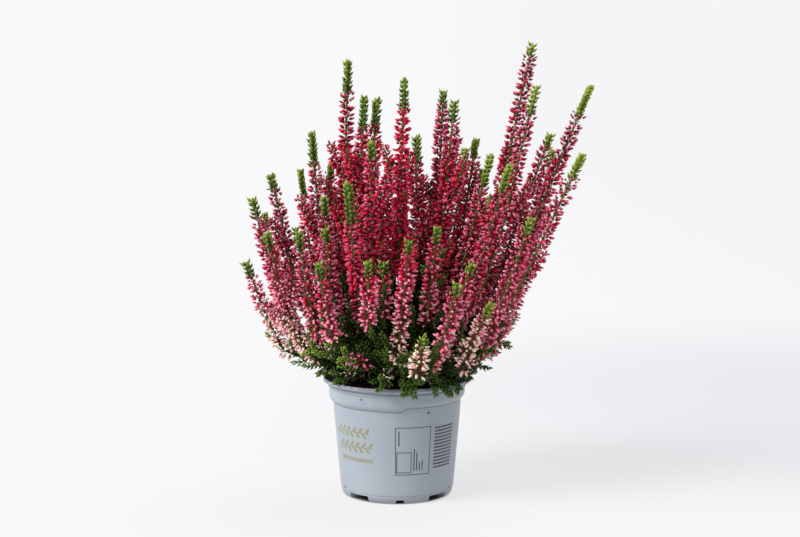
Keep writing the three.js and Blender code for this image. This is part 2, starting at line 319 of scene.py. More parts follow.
def scatter(pattern, spots, frames, sizes):
    # every copy of the pattern at its place, as one set of corners and triangles
    turned = frames * sizes[:, None, :]
    corners = np.einsum("nij,vj->nvi", turned, pattern["spots"]) + spots[:, None, :]
    count = len(pattern["spots"])
    sides = pattern["sides"][None] + np.arange(len(spots))[:, None, None] * count
    along = np.broadcast_to(pattern["spots"][:, 2], (len(spots), count))
    return {"corners": corners.reshape(-1, 3), "sides": sides.reshape(-1, 3),
            "along": along.reshape(-1), "each": count}


def meshOf(name, sets, finishes):
    # sets: (scattered copies, tone of each copy, index of its finish)
    corners = np.vstack([copies["corners"] for copies, _, _ in sets])
    starts = np.cumsum([0] + [len(copies["corners"]) for copies, _, _ in sets])
    sides = np.vstack([copies["sides"] + start for (copies, _, _), start in zip(sets, starts)])
    mesh = bpy.data.meshes.new(name)
    mesh.vertices.add(len(corners))
    mesh.vertices.foreach_set("co", corners.astype(np.float32).ravel())
    mesh.loops.add(3 * len(sides))
    mesh.loops.foreach_set("vertex_index", sides.astype(np.int32).ravel())
    mesh.polygons.add(len(sides))
    mesh.polygons.foreach_set("loop_start", np.arange(0, 3 * len(sides), 3, dtype=np.int32))
    finish = np.concatenate([np.full(len(copies["sides"]), index) for copies, _, index in sets])
    mesh.polygons.foreach_set("material_index", finish.astype(np.int32))
    mesh.polygons.foreach_set("use_smooth", np.ones(len(sides), dtype=bool))
    mesh.update(calc_edges=True)
    values = {"tone": [np.repeat(tones, copies["each"]) for copies, tones, _ in sets],
              "along": [copies["along"] for copies, _, _ in sets]}
    for word, parts in values.items():
        attribute = mesh.attributes.new(word, "FLOAT", "POINT")
        attribute.data.foreach_set("value", np.concatenate(parts).astype(np.float32))
    for finish in finishes:
        mesh.materials.append(finish)
    piece = bpy.data.objects.new(name, mesh)
    bpy.context.scene.collection.objects.link(piece)
    return piece


# Camera, light and floor

studio = {
    "lens": 72, "place": (2.4, -1296, 334), "down": 6.55,
    "floorSize": 24, "paper": (0.15, 0.15, 0.154), "paperGlow": 0.695, "underPot": (40, 46),
    "domeRadius": 9, "domeGlow": (0.943, 0.946, 0.961), "air": (0.97, 0.98, 1.0), "airLight": 0.63,
    "domeDim": 0.965, "floorDim": 0.944, "dimReach": 0.9, "paperTint": (0.99, 0.99, 1.0),
    "shade": {"place": (0.42, 0.42, 0), "radius": 0.74, "strength": 0.865, "tint": (0.995, 0.955, 1.03),
              "tintAt": 0.84},
    "suns": [{"name": "windowLeft", "turn": -62, "height": 40, "softness": 30, "power": 3.9},
             {"name": "highBack", "turn": 150, "height": 64, "softness": 40, "power": 1.1}],
}


def dimmedRight(tree, place, most):
    # painted shade: the floor and the backdrop get a little darker to the right
    return spread(tree, axisOf(tree, place, "X"), 0, studio["dimReach"], 1, most, "SMOOTHSTEP")


def timesOf(tree, first, second):
    return addNode(tree, "ShaderNodeMath", {0: first, 1: second}, operation="MULTIPLY").outputs["Value"]


def farFrom(tree, place, centre):
    return addNode(tree, "ShaderNodeVectorMath", {0: place, 1: centre}, operation="DISTANCE").outputs["Value"]


def makeFloor():
    floor = added(bpy.ops.mesh.primitive_plane_add, size=studio["floorSize"], location=(0, 0, 0))
    floor.name = "paperFloor"
    paper, tree, shader = newFinish("studioPaper", {"Base Color": studio["paper"], "Roughness": 1,
                                                    "Specular IOR Level": 0})
    place = objectPlace(tree)
    # the paper glows softly, but not where the pot stands on it: there the glow fades out as a painted
    # contact shadow
    under, clear = studio["underPot"]
    glow = spread(tree, farFrom(tree, place, (0, 0, 0)), under * mm, clear * mm, 0, studio["paperGlow"],
                  "SMOOTHSTEP")
    # a broad soft painted shadow lies behind it on the right, tinted a little towards lilac
    shade = studio["shade"]
    fallen = spread(tree, farFrom(tree, place, shade["place"]), 0, shade["radius"], shade["strength"], 1,
                    "SMOOTHERSTEP")
    shaded = timesOf(tree, fallen, dimmedRight(tree, place, studio["floorDim"]))
    tint = ramp(tree, shaded, [(shade["tintAt"], shade["tint"]), (studio["floorDim"], studio["paperTint"])])
    feed(tree, shader, {"Emission Strength": timesOf(tree, glow, shaded), "Emission Color": tint})
    addBump(tree, shader, objectNoise(tree, 60), 0.02, 0.0005)
    coat(floor, paper)


def makeDome():
    # a white backdrop all round, that the lamps shine through
    dome = added(bpy.ops.mesh.primitive_uv_sphere_add, segments=64, ring_count=32,
                 radius=studio["domeRadius"])
    dome.name = "paperDome"
    paper, tree, shader = newFinish("backdropPaper", {"Base Color": (0, 0, 0), "Specular IOR Level": 0,
                                                      "Emission Color": studio["domeGlow"]})
    feed(tree, shader, {"Emission Strength": dimmedRight(tree, objectPlace(tree), studio["domeDim"])})
    coat(dome, paper)
    dome.visible_diffuse = False
    dome.visible_glossy = False
    dome.visible_shadow = False


def makeStage():
    camera = added(bpy.ops.object.camera_add, location=[value * mm for value in studio["place"]],
                   rotation=(math.radians(90 - studio["down"]), 0, 0))
    camera.data.lens = studio["lens"]
    camera.data.sensor_width = 36
    camera.data.clip_start = 0.01
    makeFloor()
    makeDome()
    world = bpy.data.worlds.new("studioAir")
    world.use_nodes = True
    feed(world.node_tree, world.node_tree.nodes["Background"],
         {"Color": studio["air"], "Strength": studio["airLight"]})
    scene = bpy.context.scene
    scene.camera = camera
    scene.world = world
    scene.view_settings.view_transform = "Standard"
    for sun in studio["suns"]:
        # turn 0 shines from the camera's side, and a negative turn from its left
        light = added(bpy.ops.object.light_add, type="SUN", location=(0, 0, 2),
                      rotation=(math.radians(90 - sun["height"]), 0, math.radians(sun["turn"])))
        light.name = sun["name"]
        light.data.energy = sun["power"]
        light.data.angle = math.radians(sun["softness"])
    print("studio", len(studio["suns"]), "lamps")


# Pot

pot = {
    "sides": 128,
    "base": 41.5, "foot": 46.5, "footHeight": 7, "floor": 3.9, "wall": 1.3,
    "shoulder": 52.5, "shoulderHeight": 76.6, "collar": 55.5, "collarFoot": 80.4,
    "collarTop": 89.2, "lip": 60.5, "lipEdge": 3, "height": 96.4,
    "stepLift": 3.2, "stepFrom": -84, "stepTo": 88, "stepSoft": 8,
    "stepBelow": 12, "stepRise": 10, "stepClear": 2.5,
    "cutoutCount": 4,
    "cutouts": [{"first": -43, "angle": 27, "height": 5.4, "inner": 34, "taper": 0.92},
                {"first": -87, "angle": 11, "height": 3.6, "inner": 34, "taper": 0.72}],
    "drainCount": 5, "drainRadius": 3.5, "drainCircle": 24,
    "recess": 35.5, "recessHeight": 2.2,
    # each pin dimple gets a dark crumb of the crumb size, painted shade in the dimple
    "pins": {"turns": [-155, -25, 25, 155], "radius": 1.05, "height": 8.4, "crumb": 0.62},
    "dirt": [(-30.6, 86, 0.75), (28.6, 75, 0.85), (-29, 82, 0.4), (-27.5, 83.6, 0.35), (-3, 94.3, 0.5),
             (-47, 91, 0.4), (44, 31, 0.5), (130, 70, 0.7), (-140, 88, 0.6), (165, 44, 0.5)],
    "skin": {"heights": [8, 24, 42, 65.6, 75.6, 80.8, 88, 92, 93.6],
             "radii": [46.2, 47.9, 49.5, 51.6, 52.4, 55.4, 55.6, 55.9, 60.4]},
}


def potOutline():
    # the wall's outline from the underside up and over the lip, in steps from its driving sizes
    wall, rise = pot["wall"], pot["height"]
    lip, collar, shoulder, foot = pot["lip"], pot["collar"], pot["shoulder"], pot["foot"]
    step, ledge, edge = pot["footHeight"], pot["shoulderHeight"], rise - pot["lipEdge"]
    collarFoot, collarTop = pot["collarFoot"], pot["collarTop"]
    groups = [
        (pot["recess"], 0, [(-1, pot["recessHeight"]), (0, 0.3), (0.5, 0)]),
        (pot["base"], 0, [(0, 0), (2.4, 0.5)]),
        (foot, 0, [(-1.3, 2.2), (-0.55, 4.4), (-0.4, 6.1), (-0.5, 6.5), (-0.05, 6.9)]),
        (foot, step, [(0, 0.4), (1.4, 16), (3, 35)]),
        (shoulder, ledge, [(-0.9, -11), (-0.1, -0.9), (-0.45, -0.3), (0.35, 0.15)]),
        (collar, ledge, [(-1.6, 1.1), (-0.7, 2.3)]),
        (collar, collarFoot, [(-0.15, -0.1), (0, 1.4)]),
        (collar, collarTop, [(0.1, -2), (0.15, -0.5), (0.8, -0.1), (1.1, 0.6), (0.7, 1.4), (0.3, 1.9)]),
        (collar, edge, [(0.4, -0.7), (1.3, -0.2)]),
        (lip, edge, [(-0.5, 0), (0, 0.5)]),
        (lip, rise, [(0, -0.9), (-0.25, -0.25), (-0.8, 0)]),
        (lip - wall, rise, [(0, -0.1), (-0.4, -0.7)]),
        (lip - wall, edge, [(-0.6, 0.5)]),
        (collar - wall, collarTop, [(0, 0.6)]), (collar - wall, collarFoot, [(0, 0.5)]),
        (shoulder - wall, ledge, [(0, 0.5)]), (foot - wall, step, [(0, 0)]),
        (pot["base"], pot["floor"], [(-0.5, 0)]),
    ]
    return [(radius + out, height + up) for radius, height, steps in groups for out, up in steps]


def roundPlace(radius, turn, height):
    return radius * mm * math.cos(turn), radius * mm * math.sin(turn), height * mm


def frontPlace(radius, degrees, height):
    # the same, with the turn counted from the front
    turn = math.radians(degrees)
    return radius * math.sin(turn) * mm, -radius * math.cos(turn) * mm, height * mm


def turnUp(name, outline, sides):
    # a round body grown ring by ring from its base, each ring an extrude and a resize
    radius, height = outline[0]
    body = added(bpy.ops.mesh.primitive_circle_add, vertices=sides, radius=radius * mm, fill_type="NGON",
                 location=(0, 0, height * mm))
    body.name = name
    applyPlace(body)
    editCorners(body, lambda spot: True)
    for before, after in zip(outline, outline[1:]):
        bpy.ops.mesh.extrude_region_move(
            TRANSFORM_OT_translate={"value": (0, 0, (after[1] - before[1]) * mm)})
        grow = after[0] / before[0]
        bpy.ops.transform.resize(value=(grow, grow, 1), center_override=(0, 0, after[1] * mm))
    leaveEdit()
    faceOut(body)
    return body


def easeStep(value):
    value = min(max(value, 0), 1)
    return value * value * (3 - 2 * value)


def liftStep(body):
    # the moulded step under the collar stands higher on a part of the pot
    soft, ledge, clear = pot["stepSoft"], pot["shoulderHeight"], pot["stepClear"]
    top = pot["collarTop"] - clear
    for corner in body.data.vertices:
        x, y, z = corner.co
        turn = math.degrees(math.atan2(y, x))
        start = easeStep((turn - pot["stepFrom"] + soft / 2) / soft)
        end = easeStep((pot["stepTo"] - turn + soft / 2) / soft)
        rise = (z / mm - ledge + pot["stepBelow"]) / pot["stepRise"]
        fall = (top - z / mm) / (top - ledge - clear)
        corner.co.z += pot["stepLift"] * mm * start * end * min(max(min(rise, fall), 0), 1)


def wedge(cutout, turn):
    # a block that takes a foot cut-out out of the pot's lower corner
    outer = pot["foot"] + 6
    half = math.radians(cutout["angle"] / 2)
    block = added(bpy.ops.mesh.primitive_cube_add, size=1, location=(0.5, 0, 0))
    applyPlace(block)
    for corner in block.data.vertices:
        radius = outer if corner.co.x > 0.5 else cutout["inner"]
        across = radius * math.tan(half) * (1 if corner.co.y > 0 else -1)
        high = cutout["height"] if corner.co.z > 0 else -2
        across *= cutout["taper"] if corner.co.z > 0 else 1
        corner.co = (radius * mm, across * mm, high * mm)
    editCorners(block, lambda spot: True)
    bpy.ops.mesh.bevel(offset=0.9 * mm, segments=3, affect="EDGES")
    leaveEdit()
    block.rotation_euler.z = math.radians(turn)
    applyPlace(block)
    return block


def makePot():
    body = turnUp("nurseryPot", potOutline(), pot["sides"])
    liftStep(body)
    for cutout in pot["cutouts"]:
        for i in range(pot["cutoutCount"]):
            cutAway(body, wedge(cutout, cutout["first"] + 360 / pot["cutoutCount"] * i))
    for i in range(pot["drainCount"]):
        turn = (i + 0.5) * 2 * math.pi / pot["drainCount"]
        cutAway(body, added(bpy.ops.mesh.primitive_cylinder_add, vertices=32, radius=pot["drainRadius"] * mm,
                            depth=12 * mm, location=roundPlace(pot["drainCircle"], turn, 0)))
    pins = pot["pins"]
    for turn in pins["turns"]:
        cutAway(body, added(bpy.ops.mesh.primitive_uv_sphere_add, segments=16, ring_count=8,
                            radius=pins["radius"] * mm,
                            location=roundPlace(pot["foot"], math.radians(turn), pins["height"])))
    smoothBelow(body, 28)
    coat(body, potPlastic())
    finishPiece(body, ["pot"])
    print("pot", len(body.data.polygons))


def makeDirt():
    # crumbs of peat that stick to the pot, and dark crumbs in its four small dimples that stand in for the
    # shade in them, as painted shade
    pins, skin = pot["pins"], pot["skin"]
    dimpleShadeCrumbs = [(turn + 90, pins["height"], pins["crumb"]) for turn in pins["turns"]]
    crumbs = []
    for turn, height, radius in pot["dirt"] + dimpleShadeCrumbs:
        out = np.interp(height, skin["heights"], skin["radii"])
        crumb = added(bpy.ops.mesh.primitive_ico_sphere_add, subdivisions=2, radius=radius * mm,
                      location=frontPlace(out, turn, height))
        crumb.scale = (1, 0.8, 0.9)
        applyPlace(crumb)
        crumbs.append(crumb)
    dirt = joined("peatSpecksAndDimpleShade", crumbs)
    smoothBelow(dirt, 60)
    coat(dirt, peatFinish("stuckPeatAndDimpleShade", 1.2))
    finishPiece(dirt, ["pot"])
    print("peat specks", len(crumbs))


# the plastic's tones, specks and lip scuffs, and how much darker it gets towards the bottom of the foot
plastic = {"tones": [(0.3, (142, 150, 158)), (0.72, (155, 162, 170))], "gloss": (0.34, 0.5),
           "speck": (64, 56, 50), "speckScale": 95, "speckSize": (0.045, 0.075),
           "scuff": (98, 92, 104), "scuffHeight": (93.6, 94.8), "darkerFoot": 0.78, "darkerFootHeight": (2, 9)}


def potPlastic():
    finish, tree, shader = newFinish("greyBluePlastic", {})
    place = objectPlace(tree)
    height = axisOf(tree, place, "Z")
    body = ramp(tree, objectNoise(tree, 14, 4), painted(plastic["tones"]))
    # specks of dirt here and there
    specks = addNode(tree, "ShaderNodeTexVoronoi", {"Scale": plastic["speckScale"], "Vector": place})
    small, large = plastic["speckSize"]
    dots = ramp(tree, specks.outputs["Distance"], [(small, 1), (large, 0)])
    few = ramp(tree, objectNoise(tree, 24, 1), [(0.66, 0), (0.7, 1)])
    body = mixed(tree, "MIX", mixed(tree, "MULTIPLY", 1, dots, few), body, paint(*plastic["speck"]))
    # the lip is scuffed in patches, by height
    low, high = plastic["scuffHeight"]
    onLip = spread(tree, height, low * mm, high * mm, 0, 1)
    patchy = ramp(tree, objectNoise(tree, 70, 5, 0.7), [(0.4, 0.05), (0.58, 0.85)])
    body = mixed(tree, "MIX", mixed(tree, "MULTIPLY", 1, onLip, patchy), body, paint(*plastic["scuff"]))
    # and it gets a little darker towards the bottom of the foot
    low, high = plastic["darkerFootHeight"]
    darkerFoot = spread(tree, height, low * mm, high * mm, plastic["darkerFoot"], 1)
    rub = objectNoise(tree, 220)
    feed(tree, shader, {"Base Color": mixed(tree, "MULTIPLY", 1, body, darkerFoot),
                        "Roughness": spread(tree, rub, 0, 1, *plastic["gloss"])})
    addBump(tree, shader, rub, 0.08, 0.0003)
    return finish


# Plain printed marks on the pot's wall, given as degrees round it from the front and heights

marks = {
    "proud": 0.05, "thick": 0.2, "perDegree": 0.86, "step": 2.6, "line": 0.65,
    "panels": [(-1.8, 24.6, 32, 64), (-0.6, 26.4, 13.6, 43.6)],
    "rules": [(15.5, 28, 16.6, 46), (18.2, 28, 19.3, 43), (21, 28, 22.1, 35), (23.8, 28, 24.9, 36),
              (1.2, 49, 2.3, 61)],
    "stripes": {"from": 36.3, "to": 60.8, "low": 28.5, "high": 64, "count": 13, "ink": 0.52},
    "sprigs": [{"from": -69, "to": -26, "height": 57.5, "leaf": (5.6, 2.3)},
               {"from": -66, "to": -23, "height": 45.5, "leaf": (5.6, 2.3)},
               {"from": -64, "to": -23, "height": 35, "leaf": (2.4, 1.2)}],
    "leafPitch": 0.52, "leafOut": 0.4, "leafTilt": 0.9,
    "inks": {"greyInk": [(0.4, (58, 64, 71)), (0.72, (80, 87, 95))],
             "goldInk": [(0.4, (126, 124, 82)), (0.72, (138, 142, 116))]},
}


def wallRadius(height):
    foot, shoulder = pot["foot"], pot["shoulder"]
    return np.interp(height, [pot["footHeight"] + 0.4, pot["footHeight"] + 16, pot["footHeight"] + 35,
                              pot["shoulderHeight"] - 11, pot["shoulderHeight"] - 0.9],
                     [foot, foot + 1.4, foot + 3, shoulder - 0.9, shoulder - 0.1])


def flatBar(left, low, right, high):
    # a flat bar, in enough steps to follow the round wall
    wide, tall = (right - left) * marks["perDegree"], high - low
    bar = added(bpy.ops.mesh.primitive_grid_add, x_subdivisions=max(1, round(wide / marks["step"])),
                y_subdivisions=max(1, round(tall / marks["step"])), size=1,
                location=((left + right) / 2 * marks["perDegree"], (low + high) / 2, 0))
    bar.scale = (wide, tall, 1)
    applyPlace(bar)
    return bar


def flatLeaf(turn, height, length, width, tilt):
    leaf = added(bpy.ops.mesh.primitive_circle_add, vertices=10, radius=0.5, fill_type="NGON",
                 location=(turn * marks["perDegree"], height, 0))
    leaf.scale = (length, width, 1)
    leaf.rotation_euler.z = tilt
    applyPlace(leaf)
    return leaf


def frameBars(left, low, right, high):
    line = marks["line"]
    thin = line / marks["perDegree"]
    return [flatBar(left, low, right, low + line), flatBar(left, high - line, right, high),
            flatBar(left, low + line, left + thin, high - line),
            flatBar(right - thin, low + line, right, high - line)]


def wrapOnWall(name, flats, finish):
    # joins flat marks, lays them round the pot and gives them a little thickness
    mark = joined(name, flats)
    for corner in mark.data.vertices:
        turn, height = corner.co.x / marks["perDegree"], corner.co.y
        corner.co = frontPlace(wallRadius(height) + marks["proud"], turn, height)
    skin = mark.modifiers.new("thick", "SOLIDIFY")
    skin.thickness = marks["thick"] * mm
    skin.offset = -1
    applyAll(mark)
    faceOut(mark)
    coat(mark, finish)
    finishPiece(mark, ["pot"])
    print(name, len(mark.data.polygons))


def inkFinish(name):
    # ink that has rubbed a little thinner in places
    finish, tree, shader = newFinish(name, {"Roughness": 0.45})
    feed(tree, shader, {"Base Color": ramp(tree, objectNoise(tree, 900), painted(marks["inks"][name]))})
    return finish


def makeMarks():
    flats = []
    for panel in marks["panels"]:
        flats += frameBars(*panel)
    flats += [flatBar(*rule) for rule in marks["rules"]]
    stripes = marks["stripes"]
    pitch = (stripes["high"] - stripes["low"]) / stripes["count"]
    for k in range(stripes["count"]):
        low = stripes["low"] + k * pitch
        flats.append(flatBar(stripes["from"], low, stripes["to"], low + pitch * stripes["ink"]))
    wrapOnWall("inkMarks", flats, inkFinish("greyInk"))
    flats = []
    for sprig in marks["sprigs"]:
        length, width = sprig["leaf"]
        line = marks["line"] / 2
        flats.append(flatBar(sprig["from"], sprig["height"] - line, sprig["to"], sprig["height"] + line))
        count = int((sprig["to"] - sprig["from"]) * marks["perDegree"] / (length * marks["leafPitch"]))
        for k in range(count):
            turn = between((sprig["from"], sprig["to"]), (k + 0.5) / count)
            side = 1 if k % 2 else -1
            height = sprig["height"] + side * length * marks["leafOut"]
            flats.append(flatLeaf(turn, height, length, width, side * marks["leafTilt"]))
    wrapOnWall("goldSprigs", flats, inkFinish("goldInk"))


# Soil

soil = {"sides": 96, "gap": 0.3, "top": 85, "mound": 3, "rings": 42, "crumbs": 600, "crumbSize": (0.7, 2.6),
        "tones": [(0.35, (24, 18, 15)), (0.62, (38, 29, 24)), (0.8, (66, 50, 39))]}


def soilOutline():
    inner = pot["wall"] + soil["gap"]
    floor = pot["floor"] + soil["gap"]
    return [
        (pot["base"] - 1.5, floor), (pot["foot"] - inner, pot["footHeight"] + 1.5),
        (pot["shoulder"] - inner - 0.2, pot["shoulderHeight"]),
        (pot["shoulder"] - inner - 0.1, pot["shoulderHeight"] + pot["stepLift"]),
        (pot["collar"] - inner - 0.4, soil["top"] - 0.8), (pot["collar"] - inner, soil["top"]),
    ]


def soilRise(x, y):
    # height of the crumbly top, in millimetres
    r2 = (x * x + y * y) / pot["collar"] ** 2
    crumbs = np.sin(x * 0.31 + 1) * np.cos(y * 0.27) + np.sin((x + y) * 0.47)
    fine = np.sin(x * 1.7 + 2 * np.sin(y * 1.1)) * np.cos(y * 1.9 + 1.5 * np.sin(x * 0.9))
    return soil["top"] + soil["mound"] * (1 - r2) + 0.5 * crumbs + 0.45 * fine


def makeSoil():
    rings = [(radius, soil["top"]) for radius in np.linspace(pot["collar"] - 2.4, 1.2, soil["rings"])]
    body = turnUp("peat", soilOutline() + rings, soil["sides"])
    for corner in body.data.vertices:
        x, y, z = (value / mm for value in corner.co)
        if z > soil["top"] - 0.1 and math.hypot(x, y) < pot["collar"] - 2:
            corner.co.z = soilRise(x, y) * mm
    crumb = added(bpy.ops.mesh.primitive_ico_sphere_add, subdivisions=1, radius=0.5)
    editCorners(crumb, lambda spot: spot.z > 0.2)
    bpy.ops.transform.resize(value=(0.8, 1.1, 0.7))
    bpy.ops.mesh.select_all(action="SELECT")
    bpy.ops.transform.vertex_random(offset=0.12, seed=4)
    leaveEdit()
    pattern = takePattern(crumb)
    count = soil["crumbs"]
    radius = (pot["collar"] - 3.4) * np.sqrt(draw.random(count))
    turn = draw.random(count) * 2 * np.pi
    x, y = radius * np.cos(turn), radius * np.sin(turn)
    size = between(soil["crumbSize"], draw.random(count) ** 2.5)
    spots = np.stack([x, y, soilRise(x, y) + 0.2 * size], axis=1) * mm
    ways = unit(draw.normal(size=(count, 3)))
    frames = leaning(ways, outwards(ways, draw.random(count) * 6.28), 0.0)
    sizes = size[:, None] * draw.uniform(0.6, 1.2, (count, 3)) * mm
    crumbs = meshOf("peatCrumbs", [(scatter(pattern, spots, frames, sizes), draw.random(count), 0)],
                    [peatFinish("loosePeat", 0.9)])
    for polygon in crumbs.data.polygons:
        polygon.use_smooth = False
    smoothBelow(body, 50)
    coat(body, peatFinish("packedPeat", 0.7))
    finishPiece(body, ["soil"])
    finishPiece(crumbs, ["soil"])
    print("soil", len(body.data.polygons), len(crumbs.data.polygons))


# painted light and shade: light scales the peat's colours, so each piece is a lighter or darker copy of the
# one peat
def peatFinish(name, light):
    finish, tree, shader = newFinish(name, {"Roughness": 0.92})
    grain = objectNoise(tree, 420, 6.0, 0.65)
    tones = [(place, [value * light for value in paint(*colour)]) for place, colour in soil["tones"]]
    feed(tree, shader, {"Base Color": ramp(tree, grain, tones)})
    addBump(tree, shader, grain, 0.8, 0.0012)
    return finish


# Patterns that the plants repeat

leafShapes = {"leaf": {"sides": 4, "widest": (0, 0.05, 0.42), "bend": (0, -0.12, 0)},
              "needle": {"sides": 3, "widest": (0, 0.04, 0.4), "bend": (0, 0, 0)}}
budShape = {"segments": 5, "rings": 3, "shoulder": 0.84, "waist": 1.12}


def makeLeaf(shape):
    # a scale leaf one unit long along Z: pointed at the root, widest further up, its tip bent in
    leaf = added(bpy.ops.mesh.primitive_cone_add, vertices=shape["sides"], radius1=0.5, radius2=0, depth=1,
                 end_fill_type="TRIFAN", location=(0, 0, 0.5))
    applyPlace(leaf)
    shiftCorners(leaf, lambda spot: spot.z < 0.01 and spot.xy.length > 0.1, shape["widest"])
    shiftCorners(leaf, lambda spot: spot.z > 0.9, shape["bend"])
    return takePattern(leaf)


def makeBud():
    # a closed flower bud one unit long along Z: full near the root and drawn to a blunt point
    bud = added(bpy.ops.mesh.primitive_uv_sphere_add, segments=budShape["segments"],
                ring_count=budShape["rings"], radius=0.5, location=(0, 0, 0.5))
    applyPlace(bud)
    shoulder, waist = budShape["shoulder"], budShape["waist"]
    growCorners(bud, lambda spot: 0.6 < spot.z < 0.95, (shoulder, shoulder, 1))
    growCorners(bud, lambda spot: 0.1 < spot.z < 0.4, (waist, waist, 1))
    return takePattern(bud)


def makeStalk():
    # a bud's thin stalk one unit long along Z
    stalk = added(bpy.ops.mesh.primitive_cone_add, vertices=3, radius1=0.5, radius2=0, depth=1.15,
                  location=(0, 0, 0.575))
    applyPlace(stalk)
    return takePattern(stalk)


# Where the shoots stand, read from the frame

tips = {"from": 2, "to": 45, "wide": 2.6, "widening": 0.06, "gap": 9}


def cornersOf(node):
    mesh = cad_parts[node].data
    spots = np.empty(3 * len(mesh.vertices))
    mesh.vertices.foreach_get("co", spots)
    return np.unique(spots.reshape(-1, 3).round(6), axis=0)


def tipBeyond(corners, start, way):
    # the end of the leafy tip that goes on from a spike: the furthest corner close to its line
    offset = corners - start
    along = offset @ way
    aside = np.linalg.norm(offset - along[:, None] * way, axis=1)
    near = (along > tips["from"] * mm) & (along < tips["to"] * mm)
    near &= aside < tips["wide"] * mm + tips["widening"] * along
    best, reached = None, 0
    for k in np.argsort(along):
        if near[k] and along[k] < reached + tips["gap"] * mm:
            best, reached = corners[k], along[k]
    return best


def readShoots():
    # each shoot's line from its fork to its tip, with the lengths where its flowers start and end
    plants = {name: cornersOf(name) for name in plantNames}
    trunks = {name: spots[spots[:, 2] < spots[:, 2].min() + 1 * mm].mean(axis=0)
              for name, spots in plants.items()}
    shoots = []
    for name in spikeNames:
        corners = cornersOf(name)
        low, high = corners[:, 2].min(), corners[:, 2].max()
        fit = np.polyfit(corners[:, 2], corners[:, :2], 3 if high - low > 60 * mm else 2)
        heights = np.linspace(low + 1.5 * mm, high - 0.5 * mm, 5)
        spots = np.column_stack([np.polyval(fit[:, 0], heights), np.polyval(fit[:, 1], heights), heights])
        way = unit(spots[4] - spots[2])
        ends = {plant: tipBeyond(spotsOfPlant, spots[4], way) for plant, spotsOfPlant in plants.items()}
        plant = max((one for one in ends if ends[one] is not None), key=lambda one: ends[one][2])
        tip, trunk = ends[plant], trunks[plant]
        out = tip[:2] - trunk[:2]
        share = min(np.linalg.norm(out) / (130 * mm), 1)
        fork = np.append(trunk[:2], (stems["trunkHeight"] - 10 * share) * mm) + unit(np.append(out, 0)) * mm
        line = lineThrough([fork, *spots, tip], 3 * mm)
        start, end = np.interp([spots[0][2], spots[-1][2]], line["path"][:, 2], line["reach"])
        shoots.append({"name": name, "plant": plant, "spots": spots, "tip": tip, "line": line,
                       "start": start, "end": end, "sides": [], "sprigs": []})
    return shoots, trunks, plants


# Stems, leaves and low twigs

stems = {"foot": 1.45, "spike": 0.95, "tip": 0.6, "side": (0.7, 0.45), "twig": (0.42, 0.25),
         "trunkFoot": 4.1, "trunkTop": 2.6, "trunkHeight": 103}
leafKinds = {
    "tip": dict(pitch=1.75, length=5.3, width=3.9, thick=2.7, lean=(52, 38), shrink=-0.05, stem=0.8),
    "core": dict(pitch=1.0, length=4.0, width=2.1, thick=2.0, lean=(14, 14), shrink=0, stem=0.4),
    "spike": dict(pitch=1.4, length=3.7, width=1.9, thick=1.2, lean=(34, 34), shrink=0, stem=0.6),
    "bare": dict(pitch=0.95, length=4.2, width=1.8, thick=1.1, lean=(44, 44), shrink=0, stem=0.7),
    "twig": dict(pitch=1.7, length=5.0, width=2.7, thick=1.8, lean=(40, 24), shrink=0.1, stem=0.3),
    "sprig": dict(pitch=1.5, length=4.8, width=2.9, thick=1.9, lean=(44, 24), shrink=0.1, stem=0.5),
    "finger": dict(pitch=1.5, length=3.9, width=2.9, thick=1.9, lean=(40, 26), shrink=0, stem=0.5),
}
leafTones = {"tip": (0.52, 0.08), "core": (0.65, 0.22), "spike": (0.8, 0.3), "side": (0.8, 0.2),
             "bare": (0.95, 0.6), "low": (0.85, 0.5), "sprig": (0.75, 0.3)}
leafSpans = {"stemShort": 3.5, "tip": (3, 3.8), "core": (1, 4.4), "bareFrom": 4, "side": (3, 2),
             "plump": (0.88, 1.14)}
shrub = {"twigs": 7, "twigLength": (12, 26), "from": 6, "above": 14, "lean": 0.8, "rise": 0.35}
sprigs = {"count": 18, "rings": [[88, 78, 84], [65, 69, 63]], "fork": 95,
          "arch": [{"lift": 27, "droop": 0.95}, {"lift": 23, "droop": 1.85}],
          "stem": (0.95, 0.4), "leaf": "sprig", "starts": (12, 16), "end": 4,
          "twigs": 10, "twigLength": (10, 20), "lean": 0.75, "rise": 0.2, "kind": "finger", "narrower": 0.45,
          "red": 12, "redder": -0.35, "paler": 0.9}
sprays = [{"from": (1, -50, 102), "to": (13, -56, 101), "fingers": 4},
          {"from": (25, -44, 103), "to": (45, -50, 102), "fingers": 6}]
hanging = {"out": 65, "over": 100.3, "further": (1.2, 2.6), "drop": (4, 8.5), "tone": (0.72, 0.34),
           "stem": (0.6, 0.4), "finger": (0.45, 0.3), "fan": 0.12, "stray": (-1.5, 3), "arch": 1.2}
# the three fans at the front get light tones as painted light, and the two in the middle dark ones
fans = [{"from": (0, -38, 102), "to": (-10, -59, 128), "tone": (0.4, 0.15)},
        {"from": (-26, -38, 101), "to": (-42, -52, 126), "tone": (0.5, 0.25)},
        {"from": (14, -38, 102), "to": (20, -56, 126), "tone": (0.5, 0.25)},
        {"from": (3, 4, 101), "to": (-4, 8, 188), "tone": (0.95, 0.8)},
        {"from": (-6, 2, 101), "to": (-12, 6, 172), "tone": (0.95, 0.8)}]
fanStem = {"stem": (0.6, 0.35), "leaf": "finger", "starts": (6, 8), "end": 2,
           "twigs": 9, "twigLength": (8, 13), "lean": 0.8, "rise": 0.25, "kind": "finger", "narrower": 0.5}
fronds = {"perPlant": 24, "reach": (16, 46), "length": (36, 60), "lower": 0.35, "taller": 80,
          "foot": (90, 99), "stem": (0.8, 0.35), "leaf": "twig", "starts": (10, 14), "end": 3,
          "twigs": 8, "twigLength": (8, 16), "lean": 0.75, "rise": 0.25}
rim = {"inside": 47, "outside": 63.5, "clear": 98.5, "lowest": 97}
